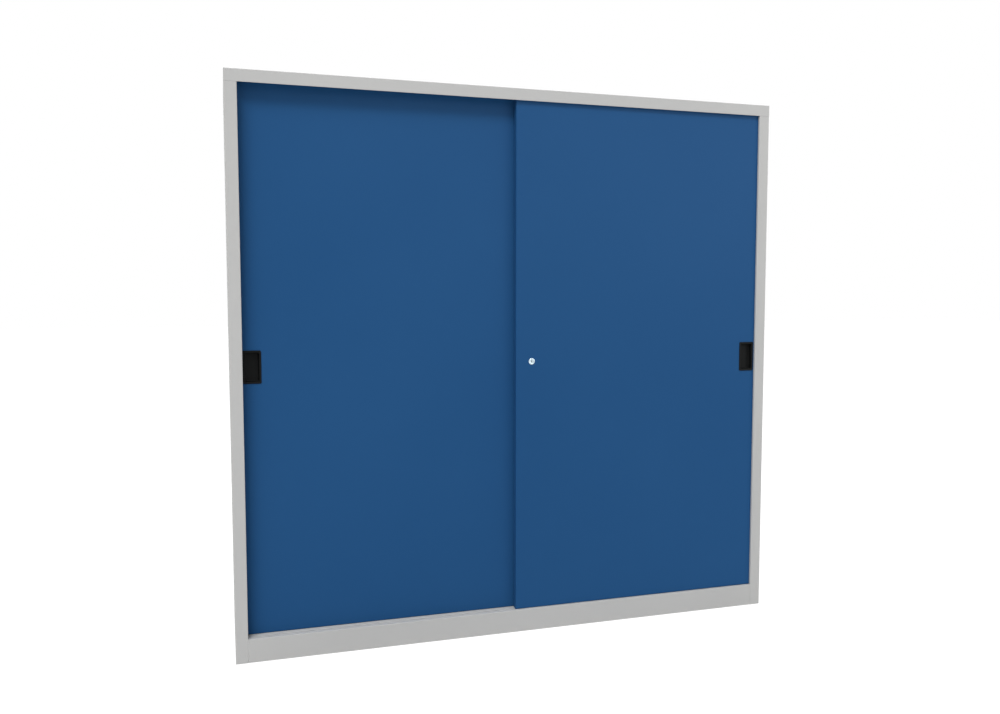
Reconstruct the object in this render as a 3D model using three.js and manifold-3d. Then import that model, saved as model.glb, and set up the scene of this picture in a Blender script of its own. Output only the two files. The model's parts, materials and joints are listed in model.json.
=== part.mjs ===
// A free-standing steel cupboard with two sliding doors, four shelves in each of its two bays,
// flush finger grips and a push-in lock. Millimetres, +Z up, the front faces -Y.
// The origin is on the floor, under the middle of the cupboard.
import * as THREE from "three";
import { mergeVertices } from "three/addons/utils/BufferGeometryUtils.js";
import Module from "manifold-3d";

// Overall size.
const cabinetWidth = 2000;
const cabinetDepth = 500;
const cabinetHeight = 1950;

// Sheet metal.
const carcassSheet = 1;
const doorSheet = 1;
const shelfSheet = 1;
const uprightSheet = 1.2;

// Clearances.
const seatGap = 0.3; // between pieces that are welded, screwed or set on each other
const mergeGap = 0.0003; // corners closer than this are one
const runningGap = 0.06; // radial, on an axle or in the lock
const overrun = 2; // how far a cutter reaches past what it cuts

// Frame.
const postWidth = 40.8;
const postReturn = 9;
const rearFlange = 25;
const headerHeight = 40.5;
const plinthHeight = 80;
const footWidth = 20; // folded in on the floor, at the front and the back
const topFlange = 28; // folded down at the back and the sides of the top

// Doors.
const doorThickness = 26;
const doorSetback = 10; // from the front plane to the front door's face
const doorSpacing = 8; // between the two doors
const doorLift = 1; // over the ledge
const doorTopCover = 12.5; // how far a door reaches up behind the header
const doorHem = 20; // folded in along a door's back edges
const frontDoorLap = 16; // past the middle of the cupboard
const rearDoorLap = 66;
const openEndRoom = 43.2; // from the far post to the rear door when it is open

// Stiffeners on the back of a door's face.
const stiffenerCount = 2;
const stiffenerWidth = 50;
const stiffenerDepth = 20;
const stiffenerLip = 14;
const stiffenerEndGap = 30; // to the door's top and bottom folds

// Rollers and the grooves they run in.
const grooveWidth = 5;
const grooveDepth = 5;
const wheelRadius = 12;
const rimWidth = 3.4;
const hubRadius = 5;
const hubWidth = 6.5;
const axleRadius = 3;
const axleHeadRadius = 4.5;
const axleHeadThickness = 1.5;
const wheelInset = 100; // from a door's edge to its roller
const wheelRoom = 2; // at both ends of a roller's slot

// Roller brackets.
const bracketSheet = 1.5;
const bracketLength = 70;
const bracketHeight = 17;
const cheekGap = 0.8; // between the hub and each cheek

// Screws.
const screwRadius = 1.9;
const screwHeadRadius = 3.6;
const screwHeadThickness = 2;
const screwTail = 2; // past the sheet that a shoe is screwed to
const screwHoleGap = 0.3;
const screwEdge = 8; // from the end of a bracket or shoe

// Upper guides.
const railInnerWidth = 10;
const railHeight = 14;
const railSheet = 1.2;
const shoeLength = 64;
const shoeWidth = 18;
const shoeThickness = 3;
const tongueLength = 30;
const tongueGap = 0.5; // on each side, in the rail
const tongueHeadroom = 3;
const shoeInset = 80; // from a door's edge to its shoe
const stopLength = 20;
const endStopGap = 0.5; // between a shoe and its stop when a door is open

// Buffer strips at the closed ends.
const bufferThickness = 12;
const bufferWidth = 20;
const bufferEnd = 260; // from a door's top and bottom to its buffer

// Finger grips.
const gripHeight = 989; // of the grips and the lock, over the floor
const gripWidth = 60.5;
const gripTall = 111;
const gripCorner = 5;
const gripPlate = 2;
const gripRim = 7;
const gripWall = 2;
const gripDepth = 16;
const leftGripInset = 27.8; // from the door's edge to the grip's edge
const rightGripInset = 30.9;

// Lock.
const lockInset = 58.7; // from the front door's inner edge
const lockFlangeRadius = 11.5;
const lockFlangeThickness = 1.6;
const barrelRadius = 9;
const barrelLength = 22;
const nutAcross = 24;
const nutThickness = 4;
const plungerRadius = 7.6;
const plungerTravel = 8;
const pinRadius = 4;
const plugRadius = 6;
const plugLength = 16;
const keySlotLength = 9.6;
const keySlotWidth = 2;
const keySlotDepth = 9;
const strikeHoleRadius = 6;
const strikeWidth = 38;
const strikeHeight = 60;
const strikeThickness = 2;

// Partition, uprights, shelves and clips.
const partitionWidth = 24;
const partitionLip = 10;
const interiorSetback = 86; // from the front plane to the shelves and the partition
const uprightWidth = 30;
const uprightDepth = 10;
const uprightInset = 20; // from a shelf's front or back edge to the upright
const uprightEndGap = 3;
const slotPitch = 90;
const slotWidth = 16;
const slotHeight = 5;
const firstSlot = 72; // over the cupboard's floor
const shelvesPerBay = 4;
const shelfHeight = 25;
const shelfHem = 12;
const shelfRearGap = 6;
const shelfSideGap = 0.7; // to the plate of a clip
const clipSheet = 1.5;
const clipWidth = 14;
const clipDrop = 12;
const clipHook = 9;
const clipReach = 14;

// Bearers under the floor.
const bearerCount = 3;
const bearerWidth = 50;

// Facets of a full turn.
const roundSides = 24;
const screwSides = 10;
const nutSides = 6;
const cornerSides = 4; // of a quarter turn

const wasm = await Module();
wasm.setup();

// Places that follow from the sizes.
const halfWidth = cabinetWidth / 2;
const frontY = -cabinetDepth / 2;
const backY = cabinetDepth / 2;
const sideInner = halfWidth - carcassSheet;
const openingHalf = halfWidth - postWidth;
const headerBottom = cabinetHeight - headerHeight;
const topUnderside = cabinetHeight - carcassSheet;
const backPanelRear = backY - carcassSheet - seatGap;
const backPanelFront = backPanelRear - carcassSheet;
const interiorBack = backPanelFront - seatGap;
const interiorFront = frontY + interiorSetback;
const doorOuterEdge = sideInner - seatGap - bufferThickness - seatGap;
const doorBottom = plinthHeight + doorLift;
const doorTop = headerBottom + doorTopCover;
const frontFace = frontY + doorSetback;
const rearFace = frontFace + doorThickness + doorSpacing;
const doorMiddle = doorThickness / 2;
const trackYs = [frontFace + doorMiddle, rearFace + doorMiddle];
const grooveFloor = plinthHeight - grooveDepth;
const wheelZ = grooveFloor + seatGap + wheelRadius;
const railOuterHalf = railInnerWidth / 2 + railSheet;
const railTop = topUnderside - seatGap;
const railBottom = railTop - railHeight;
const lockX = -frontDoorLap + lockInset;
const uprightFaceOffset = seatGap + uprightDepth;
const clipBed = uprightSheet / 3;
const doorTravel = openingHalf - rearDoorLap - openEndRoom;
const axleBore = holeRadius(axleRadius, runningGap, roundSides); // of a wheel or a bracket

const colours = {
  framePaint: [0xb9bab9, 0.45, 0.1],
  doorPaint: [0x2c5580, 0.4, 0.1],
  blackPlastic: [0x1c1d1d, 0.55, 0],
  chrome: [0xd6d8da, 0.18, 1],
  zinc: [0xa9adb0, 0.35, 1],
  nylon: [0xe3e1d8, 0.5, 0],
  rubber: [0x222222, 0.9, 0],
};

const cabinet = new THREE.Group();

// Turns a closed three.js geometry into a solid that can be joined and cut.
function solid(geometry) {
  const plain = geometry.index ? geometry.toNonIndexed() : geometry;
  plain.deleteAttribute("normal");
  plain.deleteAttribute("uv");
  const merged = mergeVertices(plain, mergeGap);
  const corners = merged.index.array;
  const kept = [];
  for (let i = 0; i < corners.length; i += 3) {
    const [a, b, c] = corners.slice(i, i + 3);
    if (a !== b && b !== c && c !== a) kept.push(a, b, c);
  }
  return new wasm.Manifold(
    new wasm.Mesh({
      numProp: 3,
      vertProperties: merged.attributes.position.array,
      triVerts: new Uint32Array(kept),
    }),
  );
}

// Puts a finished solid into the cupboard as a named mesh.
function addPiece(name, shape, finish) {
  const { vertProperties, triVerts } = shape.getMesh();
  const geometry = new THREE.BufferGeometry();
  geometry.setAttribute("position", new THREE.BufferAttribute(vertProperties, 3));
  geometry.setIndex(new THREE.BufferAttribute(triVerts, 1));
  const faceted = geometry.toNonIndexed();
  faceted.computeVertexNormals();
  const [colour, roughness, metalness] = colours[finish];
  const material = new THREE.MeshStandardMaterial({ color: colour, roughness, metalness });
  const mesh = new THREE.Mesh(faceted, material);
  mesh.name = name;
  cabinet.add(mesh);
}

function joined(shapes) {
  return shapes.reduce((whole, shape) => whole.add(shape));
}

function cut(shape, cutters) {
  return cutters.reduce((rest, cutter) => rest.subtract(cutter), shape);
}

// A box between two limits on each axis.
function box([x0, x1], [y0, y1], [z0, z1]) {
  const geometry = new THREE.BoxGeometry(x1 - x0, y1 - y0, z1 - z0);
  geometry.translate((x0 + x1) / 2, (y0 + y1) / 2, (z0 + z1) / 2);
  return solid(geometry);
}

// The directions that an outline's two axes and its extrusion take.
const frames = {
  x: [new THREE.Vector3(0, 1, 0), new THREE.Vector3(0, 0, 1), new THREE.Vector3(1, 0, 0)],
  y: [new THREE.Vector3(1, 0, 0), new THREE.Vector3(0, 0, 1), new THREE.Vector3(0, -1, 0)],
  z: [new THREE.Vector3(1, 0, 0), new THREE.Vector3(0, 1, 0), new THREE.Vector3(0, 0, 1)],
};

// Extrudes an outline along an axis, from one place on it to another.
function prism(outline, axis, from, to) {
  const options = { depth: to - from, bevelEnabled: false, curveSegments: cornerSides };
  const geometry = new THREE.ExtrudeGeometry(outline, options);
  geometry.translate(0, 0, axis === "y" ? -to : from);
  geometry.applyMatrix4(new THREE.Matrix4().makeBasis(...frames[axis]));
  return solid(geometry);
}

// The section of a folded sheet: a line of bends, thickened to its right, or to its left when negative.
function folded(points, thickness) {
  const line = points.map((p) => new THREE.Vector2(...p));
  const normals = line.slice(1).map((p, i) => {
    const along = p.clone().sub(line[i]).normalize();
    return new THREE.Vector2(along.y, -along.x);
  });
  const other = line.map((p, i) => {
    const before = normals[Math.max(i - 1, 0)];
    const after = normals[Math.min(i, normals.length - 1)];
    const mitre = before.clone().add(after).divideScalar(1 + before.dot(after));
    return p.clone().addScaledVector(mitre, thickness);
  });
  return new THREE.Shape([...line, ...other.reverse()]);
}

// A round piece along the Y axis, from pairs of radius and place on the axis, closed on itself.
function turned(profile, [x, z]) {
  const closed = [...profile, profile[0]].map((p) => new THREE.Vector2(...p));
  const geometry = new THREE.LatheGeometry(closed, roundSides);
  geometry.translate(x, 0, z);
  return solid(geometry);
}

// A pin along Y, by its radius and its two ends.
function pinY(radius, sides, [x, z], from, to) {
  const geometry = new THREE.CylinderGeometry(radius, radius, to - from, sides);
  geometry.translate(x, (from + to) / 2, z);
  return solid(geometry);
}

// A pin along Z, by its radius and its two ends.
function pinZ(radius, sides, [x, y], from, to) {
  const geometry = new THREE.CylinderGeometry(radius, radius, to - from, sides);
  geometry.rotateX(Math.PI / 2);
  geometry.translate(x, y, (from + to) / 2);
  return solid(geometry);
}

function roundedOutline(width, height, corner, [x, z]) {
  const shape = new THREE.Shape();
  const right = width / 2 - corner;
  const up = height / 2 - corner;
  shape.absarc(x + right, z + up, corner, 0, Math.PI / 2);
  shape.absarc(x - right, z + up, corner, Math.PI / 2, Math.PI);
  shape.absarc(x - right, z - up, corner, Math.PI, Math.PI * 1.5);
  shape.absarc(x + right, z - up, corner, Math.PI * 1.5, Math.PI * 2);
  return shape;
}

// The radius of a faceted hole that clears a faceted pin all round.
function holeRadius(radius, gap, sides) {
  return (radius + gap) / Math.cos(Math.PI / sides);
}

// Two distances from the middle, on the left (-1) or the right (1), as limits in rising order.
function span(side, near, far) {
  return side < 0 ? [-far, -near] : [near, far];
}

function around(middle, size) {
  return [middle - size / 2, middle + size / 2];
}

// One side of the carcass is one sheet: the post's return, the post's face, the side, the back flange.
function sidePanel(side) {
  const bends = [
    [side * openingHalf, frontY + postReturn],
    [side * openingHalf, frontY],
    [side * halfWidth, frontY],
    [side * halfWidth, backY],
    [side * (halfWidth - rearFlange), backY],
  ];
  const sheet = prism(folded(bends, -side * carcassSheet), "z", 0, topUnderside - seatGap);
  const headerNotch = box(
    span(side, openingHalf - overrun, halfWidth + overrun),
    [frontY - overrun, frontY + carcassSheet + seatGap],
    [headerBottom - seatGap, cabinetHeight],
  );
  return cut(sheet, [headerNotch]);
}

// The top is one sheet with the header folded down in front, and short flanges at the back and sides.
function topPanel() {
  const bends = [
    [frontY, headerBottom],
    [frontY, cabinetHeight],
    [backY, cabinetHeight],
  ];
  const sheet = prism(folded(bends, carcassSheet), "x", -halfWidth, halfWidth);
  const flangeZ = [cabinetHeight - topFlange, cabinetHeight - carcassSheet / 2];
  const backReach = halfWidth - rearFlange - seatGap;
  const back = box([-backReach, backReach], [backY - carcassSheet, backY], flangeZ);
  const sideOuter = sideInner - seatGap;
  const sides = [-1, 1].map((side) =>
    box(span(side, sideOuter - carcassSheet, sideOuter), [interiorFront, interiorBack], flangeZ),
  );
  return joined([sheet, back, ...sides]);
}

// The base: the plinth between the posts, the floor with its two pressed grooves, and its edges.
function basePanel() {
  const floorFront = frontY + postReturn + seatGap;
  const plinthBends = [
    [frontY + footWidth, 0],
    [frontY, 0],
    [frontY, plinthHeight],
    [floorFront + carcassSheet, plinthHeight],
  ];
  const plinthReach = openingHalf - seatGap;
  const plinth = prism(folded(plinthBends, carcassSheet), "x", -plinthReach, plinthReach);
  const grooveBends = trackYs.flatMap((y) => {
    const [near, far] = around(y, grooveWidth);
    return [
      [near, plinthHeight],
      [near, grooveFloor],
      [far, grooveFloor],
      [far, plinthHeight],
    ];
  });
  const floorBends = [
    [floorFront, plinthHeight],
    ...grooveBends,
    [interiorBack, plinthHeight],
    [interiorBack, 0],
    [interiorBack - footWidth, 0],
  ];
  const floorReach = sideInner - seatGap;
  const floor = prism(folded(floorBends, carcassSheet), "x", -floorReach, floorReach);
  const edges = [-1, 1].map((side) =>
    box(
      span(side, floorReach - carcassSheet, floorReach),
      [floorFront, interiorBack],
      [plinthHeight - topFlange, plinthHeight - carcassSheet / 2],
    ),
  );
  return joined([plinth, floor, ...edges, ...floorBearers()]);
}

// Channels welded under the floor, from behind the rear groove to the back foot.
function floorBearers() {
  const top = plinthHeight - carcassSheet / 2;
  const start = trackYs[1] + grooveWidth / 2 + carcassSheet + seatGap;
  const end = interiorBack - footWidth - seatGap;
  const bearers = [];
  for (let i = 0; i < bearerCount; i += 1) {
    const middle = ((i + 1) / (bearerCount + 1) - 1 / 2) * 2 * sideInner;
    const [left, right] = around(middle, bearerWidth);
    const bends = [
      [left, 0],
      [left, top],
      [right, top],
      [right, 0],
    ];
    bearers.push(prism(folded(bends, carcassSheet), "y", start, end));
  }
  return bearers;
}

function backPanel(side) {
  return box(
    span(side, seatGap / 2, sideInner - seatGap),
    [backPanelFront, backPanelRear],
    [seatGap, topUnderside - seatGap],
  );
}

// The partition is a channel, closed in front, with lips at the back.
function centrePartition() {
  const half = partitionWidth / 2;
  const bends = [
    [half - partitionLip, interiorBack],
    [half, interiorBack],
    [half, interiorFront],
    [-half, interiorFront],
    [-half, interiorBack],
    [partitionLip - half, interiorBack],
  ];
  return prism(folded(bends, carcassSheet), "z", plinthHeight + seatGap, topUnderside - seatGap);
}

addPiece("side_panel_left", sidePanel(-1), "framePaint");
addPiece("side_panel_right", sidePanel(1), "framePaint");
addPiece("top_panel", topPanel(), "framePaint");
addPiece("base_panel", basePanel(), "framePaint");
addPiece("back_panel_left", backPanel(-1), "framePaint");
addPiece("back_panel_right", backPanel(1), "framePaint");
addPiece("centre_partition", centrePartition(), "framePaint");

// Places inside a bay.
const shelfBack = interiorBack - shelfRearGap;
const uprightYs = {
  front: interiorFront + uprightInset + uprightWidth / 2,
  rear: shelfBack - uprightInset - uprightWidth / 2,
};
const uprightBottom = plinthHeight + uprightEndGap;
const uprightTop = cabinetHeight - topFlange - uprightEndGap;
const slotBase = plinthHeight + firstSlot;
const slotCount = Math.floor((uprightTop - slotBase - slotHeight) / slotPitch) + 1;
const shelfSlotZs = [];
for (let i = 1; i <= shelvesPerBay; i += 1) {
  const slot = Math.round((i * slotCount) / (shelvesPerBay + 1)) - 1;
  shelfSlotZs.push(slotBase + slot * slotPitch);
}

// The two walls of a bay, each with its place and the way into the bay.
function bayWalls(side) {
  return {
    side: { x: side * sideInner, inward: -side },
    partition: { x: (side * partitionWidth) / 2, inward: side },
  };
}

// A slotted channel on a wall of a bay, open towards the wall, with the clips that hang in its slots.
function upright({ x, inward }, y) {
  const root = x + inward * seatGap;
  const face = x + inward * uprightFaceOffset;
  const [near, far] = around(y, uprightWidth);
  const bends = [
    [root, near],
    [face, near],
    [face, far],
    [root, far],
  ];
  const channel = prism(folded(bends, -inward * uprightSheet), "z", uprightBottom, uprightTop);
  const ends = [face + inward * overrun, face - inward * (uprightSheet + overrun)];
  const slots = [];
  for (let i = 0; i < slotCount; i += 1) {
    const z = slotBase + i * slotPitch;
    slots.push(box(ends.toSorted((a, b) => a - b), around(y, slotWidth), [z, z + slotHeight]));
  }
  return joined([cut(channel, slots), ...shelfSlotZs.map((z) => shelfClip({ x, inward }, y, z))]);
}

// A clip hooked through a slot: a lip behind the web, a plate in front of it, a tongue under the shelf.
// The lip and the plate are bedded in the web, so that the clip is one body with it.
function shelfClip({ x, inward }, y, slotZ) {
  const face = x + inward * uprightFaceOffset;
  const lip = clipBed - uprightSheet - clipSheet;
  const bends = [
    [lip, clipHook],
    [lip, seatGap],
    [-clipBed, seatGap],
    [-clipBed, -clipDrop],
    [clipReach, -clipDrop],
  ].map(([out, up]) => [face + inward * out, slotZ + up]);
  return prism(folded(bends, -inward * clipSheet), "y", ...around(y, clipWidth));
}

// A sheet folded into a shallow tray with a hem round its open side: the bottom of a shelf.
function shelf(side, slotZ) {
  const sideOffset = uprightFaceOffset + clipSheet - clipBed + shelfSideGap;
  const xs = span(side, partitionWidth / 2 + sideOffset, sideInner - sideOffset);
  const ys = [interiorFront, shelfBack];
  const bottom = slotZ - clipDrop + clipSheet + seatGap;
  const zs = [bottom, bottom + shelfHeight];
  const hollow = box(inset(xs, shelfSheet), inset(ys, shelfSheet), inset(zs, shelfSheet));
  const mouth = box(inset(xs, shelfHem), inset(ys, shelfHem), [zs[0] - overrun, zs[0] + overrun]);
  return cut(box(xs, ys, zs), [hollow, mouth]);
}

function inset([low, high], amount) {
  return [low + amount, high - amount];
}

for (const [bay, side] of [["left", -1], ["right", 1]]) {
  const walls = bayWalls(side);
  for (const [wall, place] of Object.entries(walls)) {
    for (const [end, y] of Object.entries(uprightYs)) {
      addPiece(`upright_${bay}_${wall}_${end}`, upright(place, y), "framePaint");
    }
  }
  shelfSlotZs.forEach((slotZ, i) => {
    addPiece(`shelf_${bay}_${i + 1}`, shelf(side, slotZ), "framePaint");
  });
}

// The doors: where each starts and ends, its face, its track and its finger grip.
const doors = {
  left: {
    xs: [-doorOuterEdge, rearDoorLap],
    face: rearFace,
    track: trackYs[1],
    gripX: -doorOuterEdge + leftGripInset + gripWidth / 2,
  },
  right: {
    xs: [-frontDoorLap, doorOuterEdge],
    face: frontFace,
    track: trackYs[0],
    gripX: doorOuterEdge - rightGripInset - gripWidth / 2,
  },
};
const doorZs = [doorBottom, doorTop];
const recessWidth = gripWidth - 2 * gripRim;
const recessTall = gripTall - 2 * gripRim;
const cupWidth = recessWidth + 2 * gripWall;
const cupTall = recessTall + 2 * gripWall;
const cupCorner = gripCorner + gripWall;
const lockHole = holeRadius(barrelRadius, seatGap, roundSides);
const screwHole = holeRadius(screwRadius, screwHoleGap, screwSides);
const bracketFloor = doorBottom + doorSheet + seatGap;
const bracketTop = bracketFloor + bracketSheet;
const cheekInner = hubWidth / 2 + cheekGap;
const shoeFloor = doorTop + seatGap;
const shoeTop = shoeFloor + shoeThickness;

function wheelXs({ xs }) {
  return inset(xs, wheelInset);
}

function shoeXs({ xs }) {
  return inset(xs, shoeInset);
}

// The slot that a roller stands in, through a bracket and the bottom of a door.
function wheelSlot(x, track) {
  return box(
    around(x, 2 * (wheelRadius + wheelRoom)),
    around(track, hubWidth + cheekGap),
    [doorBottom - overrun, bracketTop + overrun],
  );
}

// The two screw places of a bracket or a shoe.
function screwXs(x, length) {
  return [x - length / 2 + screwEdge, x + length / 2 - screwEdge];
}

function screwHoles(xs, y, low, high) {
  return xs.map((x) => pinZ(screwHole, screwSides, [x, y], low - overrun, high + overrun));
}

// A door is a tray folded from one sheet, with hems round its open back.
function doorPanel(door, extraCuts) {
  const ys = [door.face, door.face + doorThickness];
  const hollow = box(inset(door.xs, doorSheet), inset(ys, doorSheet), inset(doorZs, doorSheet));
  const mouth = box(inset(door.xs, doorHem), [ys[1] - overrun, ys[1] + overrun], inset(doorZs, doorHem));
  const gripOutline = roundedOutline(
    cupWidth + 2 * seatGap,
    cupTall + 2 * seatGap,
    cupCorner + seatGap,
    [door.gripX, gripHeight],
  );
  const gripHole = prism(gripOutline, "y", door.face - overrun, door.face + doorSheet + overrun);
  const slots = wheelXs(door).map((x) => wheelSlot(x, door.track));
  const bottomHoles = wheelXs(door).flatMap((x) =>
    screwHoles(screwXs(x, bracketLength), door.track, doorBottom, doorBottom + doorSheet),
  );
  const topHoles = shoeXs(door).flatMap((x) =>
    screwHoles(screwXs(x, shoeLength), door.track, doorTop - doorSheet, doorTop),
  );
  const sheet = box(door.xs, ys, doorZs);
  return cut(sheet, [hollow, mouth, gripHole, ...slots, ...bottomHoles, ...topHoles, ...extraCuts]);
}

// A hat channel behind the door's face: one of an evenly spaced row.
function doorStiffener({ xs, face }, number) {
  const lipBack = face + doorSheet + seatGap + doorSheet;
  const crown = face + doorSheet + seatGap + stiffenerDepth;
  const middle = xs[0] + ((xs[1] - xs[0]) * number) / (stiffenerCount + 1);
  const [left, right] = around(middle, stiffenerWidth);
  const bends = [
    [left - stiffenerLip, lipBack],
    [left, lipBack],
    [left, crown],
    [right, crown],
    [right, lipBack],
    [right + stiffenerLip, lipBack],
  ];
  return prism(folded(bends, doorSheet), "z", ...inset(doorZs, doorSheet + stiffenerEndGap));
}

// A flush finger grip: a rounded plate on the door's face and a cup behind it.
function fingerGrip({ face, gripX }) {
  const place = [gripX, gripHeight];
  const plateBack = face - seatGap;
  const plateFront = plateBack - gripPlate;
  const floor = face + gripDepth;
  const plateOutline = roundedOutline(gripWidth, gripTall, gripCorner, place);
  const cupOutline = roundedOutline(cupWidth, cupTall, cupCorner, place);
  const recessOutline = roundedOutline(recessWidth, recessTall, gripCorner, place);
  const plate = prism(plateOutline, "y", plateFront, plateBack);
  const cup = prism(cupOutline, "y", plateFront, floor + gripWall);
  return cut(plate.add(cup), [prism(recessOutline, "y", plateFront - overrun, floor)]);
}

// A roller's bracket: a channel screwed to the door's bottom fold, with holes for the axle.
function rollerBracket(x, track) {
  const [near, far] = around(track, 2 * (cheekInner + bracketSheet));
  const top = bracketFloor + bracketHeight;
  const bends = [
    [near, top],
    [near, bracketFloor],
    [far, bracketFloor],
    [far, top],
  ];
  const channel = prism(folded(bends, -bracketSheet), "x", ...around(x, bracketLength));
  const bore = pinY(axleBore, roundSides, [x, wheelZ], near - overrun, far + overrun);
  const screws = screwXs(x, bracketLength).map((screwX) =>
    screw(screwX, track, bracketFloor + bracketSheet / 2, bracketTop, doorBottom),
  );
  return joined([cut(channel, [wheelSlot(x, track), bore]), ...screws]);
}

function axle(x, track) {
  const shoulder = cheekInner + bracketSheet + seatGap;
  const end = shoulder + axleHeadThickness;
  const profile = [
    [0, track - end],
    [axleHeadRadius, track - end],
    [axleHeadRadius, track - shoulder],
    [axleRadius, track - shoulder],
    [axleRadius, track + shoulder],
    [axleHeadRadius, track + shoulder],
    [axleHeadRadius, track + end],
    [0, track + end],
  ];
  return turned(profile, [x, wheelZ]);
}

function wheel(x, track) {
  const profile = [
    [axleBore, track - hubWidth / 2],
    [hubRadius, track - hubWidth / 2],
    [hubRadius, track - rimWidth / 2],
    [wheelRadius, track - rimWidth / 2],
    [wheelRadius, track + rimWidth / 2],
    [hubRadius, track + rimWidth / 2],
    [hubRadius, track + hubWidth / 2],
    [axleBore, track + hubWidth / 2],
  ];
  return turned(profile, [x, wheelZ]);
}

// A shoe screwed on a door's top, with a tongue that runs in the guide rail.
function guideShoe(x, track) {
  const tongueTop = railTop - railSheet - tongueHeadroom;
  const plate = box(around(x, shoeLength), around(track, shoeWidth), [shoeFloor, shoeTop]);
  const tongueWidth = railInnerWidth - 2 * tongueGap;
  const tongue = box(around(x, tongueLength), around(track, tongueWidth), [shoeFloor, tongueTop]);
  const tip = doorTop - doorSheet - screwTail;
  const screws = screwXs(x, shoeLength).map((screwX) =>
    screw(screwX, track, shoeFloor + shoeThickness / 2, shoeTop, tip),
  );
  return joined([plate, tongue, ...screws]);
}

// A pan-head screw that points down and is one body with what it holds: its head and its shank
// meet at root, inside that piece, under its face.
function screw(x, y, root, face, tip) {
  const head = pinZ(screwHeadRadius, screwSides, [x, y], root, face + screwHeadThickness);
  return head.add(pinZ(screwRadius, screwSides, [x, y], tip, face));
}

// Places along the lock, from its face to the tip of its pin.
const lockPlace = [lockX, gripHeight];
const flangeBack = frontFace - seatGap;
const lockFront = flangeBack - lockFlangeThickness;
const barrelEnd = flangeBack + barrelLength;
const plungerShoulder = barrelEnd - plungerTravel / 2;
const pinTip = rearFace - seatGap - gripPlate - seatGap;
const plugEnd = lockFront + plugLength;

function lockHousing() {
  const bore = holeRadius(plungerRadius, runningGap, roundSides);
  const profile = [
    [bore, lockFront],
    [lockFlangeRadius, lockFront],
    [lockFlangeRadius, flangeBack],
    [barrelRadius, flangeBack],
    [barrelRadius, barrelEnd],
    [bore, barrelEnd],
  ];
  return turned(profile, lockPlace);
}

function lockNut() {
  const start = frontFace + doorSheet + seatGap;
  const end = start + nutThickness;
  const corner = nutAcross / 2 / Math.cos(Math.PI / nutSides);
  const hexagon = pinY(corner, nutSides, lockPlace, start, end);
  return cut(hexagon, [pinY(lockHole, roundSides, lockPlace, start - overrun, end + overrun)]);
}

function lockPlunger() {
  const bore = holeRadius(plugRadius, runningGap, roundSides);
  const profile = [
    [bore, lockFront],
    [plungerRadius, lockFront],
    [plungerRadius, plungerShoulder],
    [pinRadius, plungerShoulder],
    [pinRadius, pinTip],
    [0, pinTip],
    [0, plugEnd + seatGap],
    [bore, plugEnd + seatGap],
  ];
  return turned(profile, lockPlace);
}

function lockPlug() {
  const core = pinY(plugRadius, roundSides, lockPlace, lockFront, plugEnd);
  const keySlot = box(
    around(lockX, keySlotWidth),
    [lockFront - overrun, lockFront + keySlotDepth],
    around(gripHeight, keySlotLength),
  );
  return cut(core, [keySlot]);
}

// The plate behind the rear door's face that the lock's pin would enter.
function strikePlate(hole) {
  const start = rearFace + doorSheet + seatGap;
  const ys = [start, start + strikeThickness];
  return cut(box(around(lockX, strikeWidth), ys, around(gripHeight, strikeHeight)), [hole]);
}

const lockCut = pinY(lockHole, roundSides, lockPlace, frontFace - overrun, frontFace + doorSheet + overrun);
const strikeHole = pinY(
  strikeHoleRadius,
  roundSides,
  lockPlace,
  rearFace - overrun,
  rearFace + doorSheet + strikeThickness + overrun,
);
const extraCuts = { left: [strikeHole], right: [lockCut] };

for (const [name, door] of Object.entries(doors)) {
  const wheels = wheelXs(door);
  addPiece(`${name}_door_panel`, doorPanel(door, extraCuts[name]), "doorPaint");
  addPiece(`${name}_door_grip`, fingerGrip(door), "blackPlastic");
  for (let i = 1; i <= stiffenerCount; i += 1) {
    addPiece(`${name}_door_stiffener_${i}`, doorStiffener(door, i), "doorPaint");
  }
  ["left", "right"].forEach((end, i) => {
    addPiece(`${name}_door_guide_shoe_${end}`, guideShoe(shoeXs(door)[i], door.track), "nylon");
    addPiece(`${name}_door_roller_bracket_${end}`, rollerBracket(wheels[i], door.track), "zinc");
    addPiece(`${name}_door_axle_${end}`, axle(wheels[i], door.track), "zinc");
    addPiece(`${name}_door_wheel_${end}`, wheel(wheels[i], door.track), "nylon");
  });
}
addPiece("left_door_strike_plate", strikePlate(strikeHole), "zinc");
addPiece("lock_housing", lockHousing(), "chrome");
addPiece("lock_nut", lockNut(), "zinc");
addPiece("lock_plunger", lockPlunger(), "chrome");
addPiece("lock_plug", lockPlug(), "chrome");

// The guide rails under the top, open downwards.
function guideRail(track) {
  const bends = [
    [track - railOuterHalf, railBottom],
    [track - railOuterHalf, railTop],
    [track + railOuterHalf, railTop],
    [track + railOuterHalf, railBottom],
  ];
  const reach = sideInner - seatGap;
  return prism(folded(bends, railSheet), "x", -reach, reach);
}

// A block in a guide rail that the leading shoe meets when its door is open.
function openStop({ track }, shoeX, way) {
  const contact = shoeX + way * (tongueLength / 2 + doorTravel + endStopGap);
  const xs = way < 0 ? [contact - stopLength, contact] : [contact, contact + stopLength];
  return box(xs, around(track, railInnerWidth - 2 * seatGap), [railBottom, railTop - railSheet - seatGap]);
}

// A strip on a side wall that a closed door's outer edge meets.
function doorBuffer(side, { track }) {
  const xs = span(side, sideInner - seatGap - bufferThickness, sideInner - seatGap);
  return box(xs, around(track, bufferWidth), inset(doorZs, bufferEnd));
}

addPiece("guide_rail_front", guideRail(trackYs[0]), "zinc");
addPiece("guide_rail_rear", guideRail(trackYs[1]), "zinc");
addPiece("left_door_open_stop", openStop(doors.left, shoeXs(doors.left)[1], 1), "rubber");
addPiece("right_door_open_stop", openStop(doors.right, shoeXs(doors.right)[0], -1), "rubber");
addPiece("door_buffer_left", doorBuffer(-1, doors.left), "rubber");
addPiece("door_buffer_right", doorBuffer(1, doors.right), "rubber");

export default cabinet;
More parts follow.
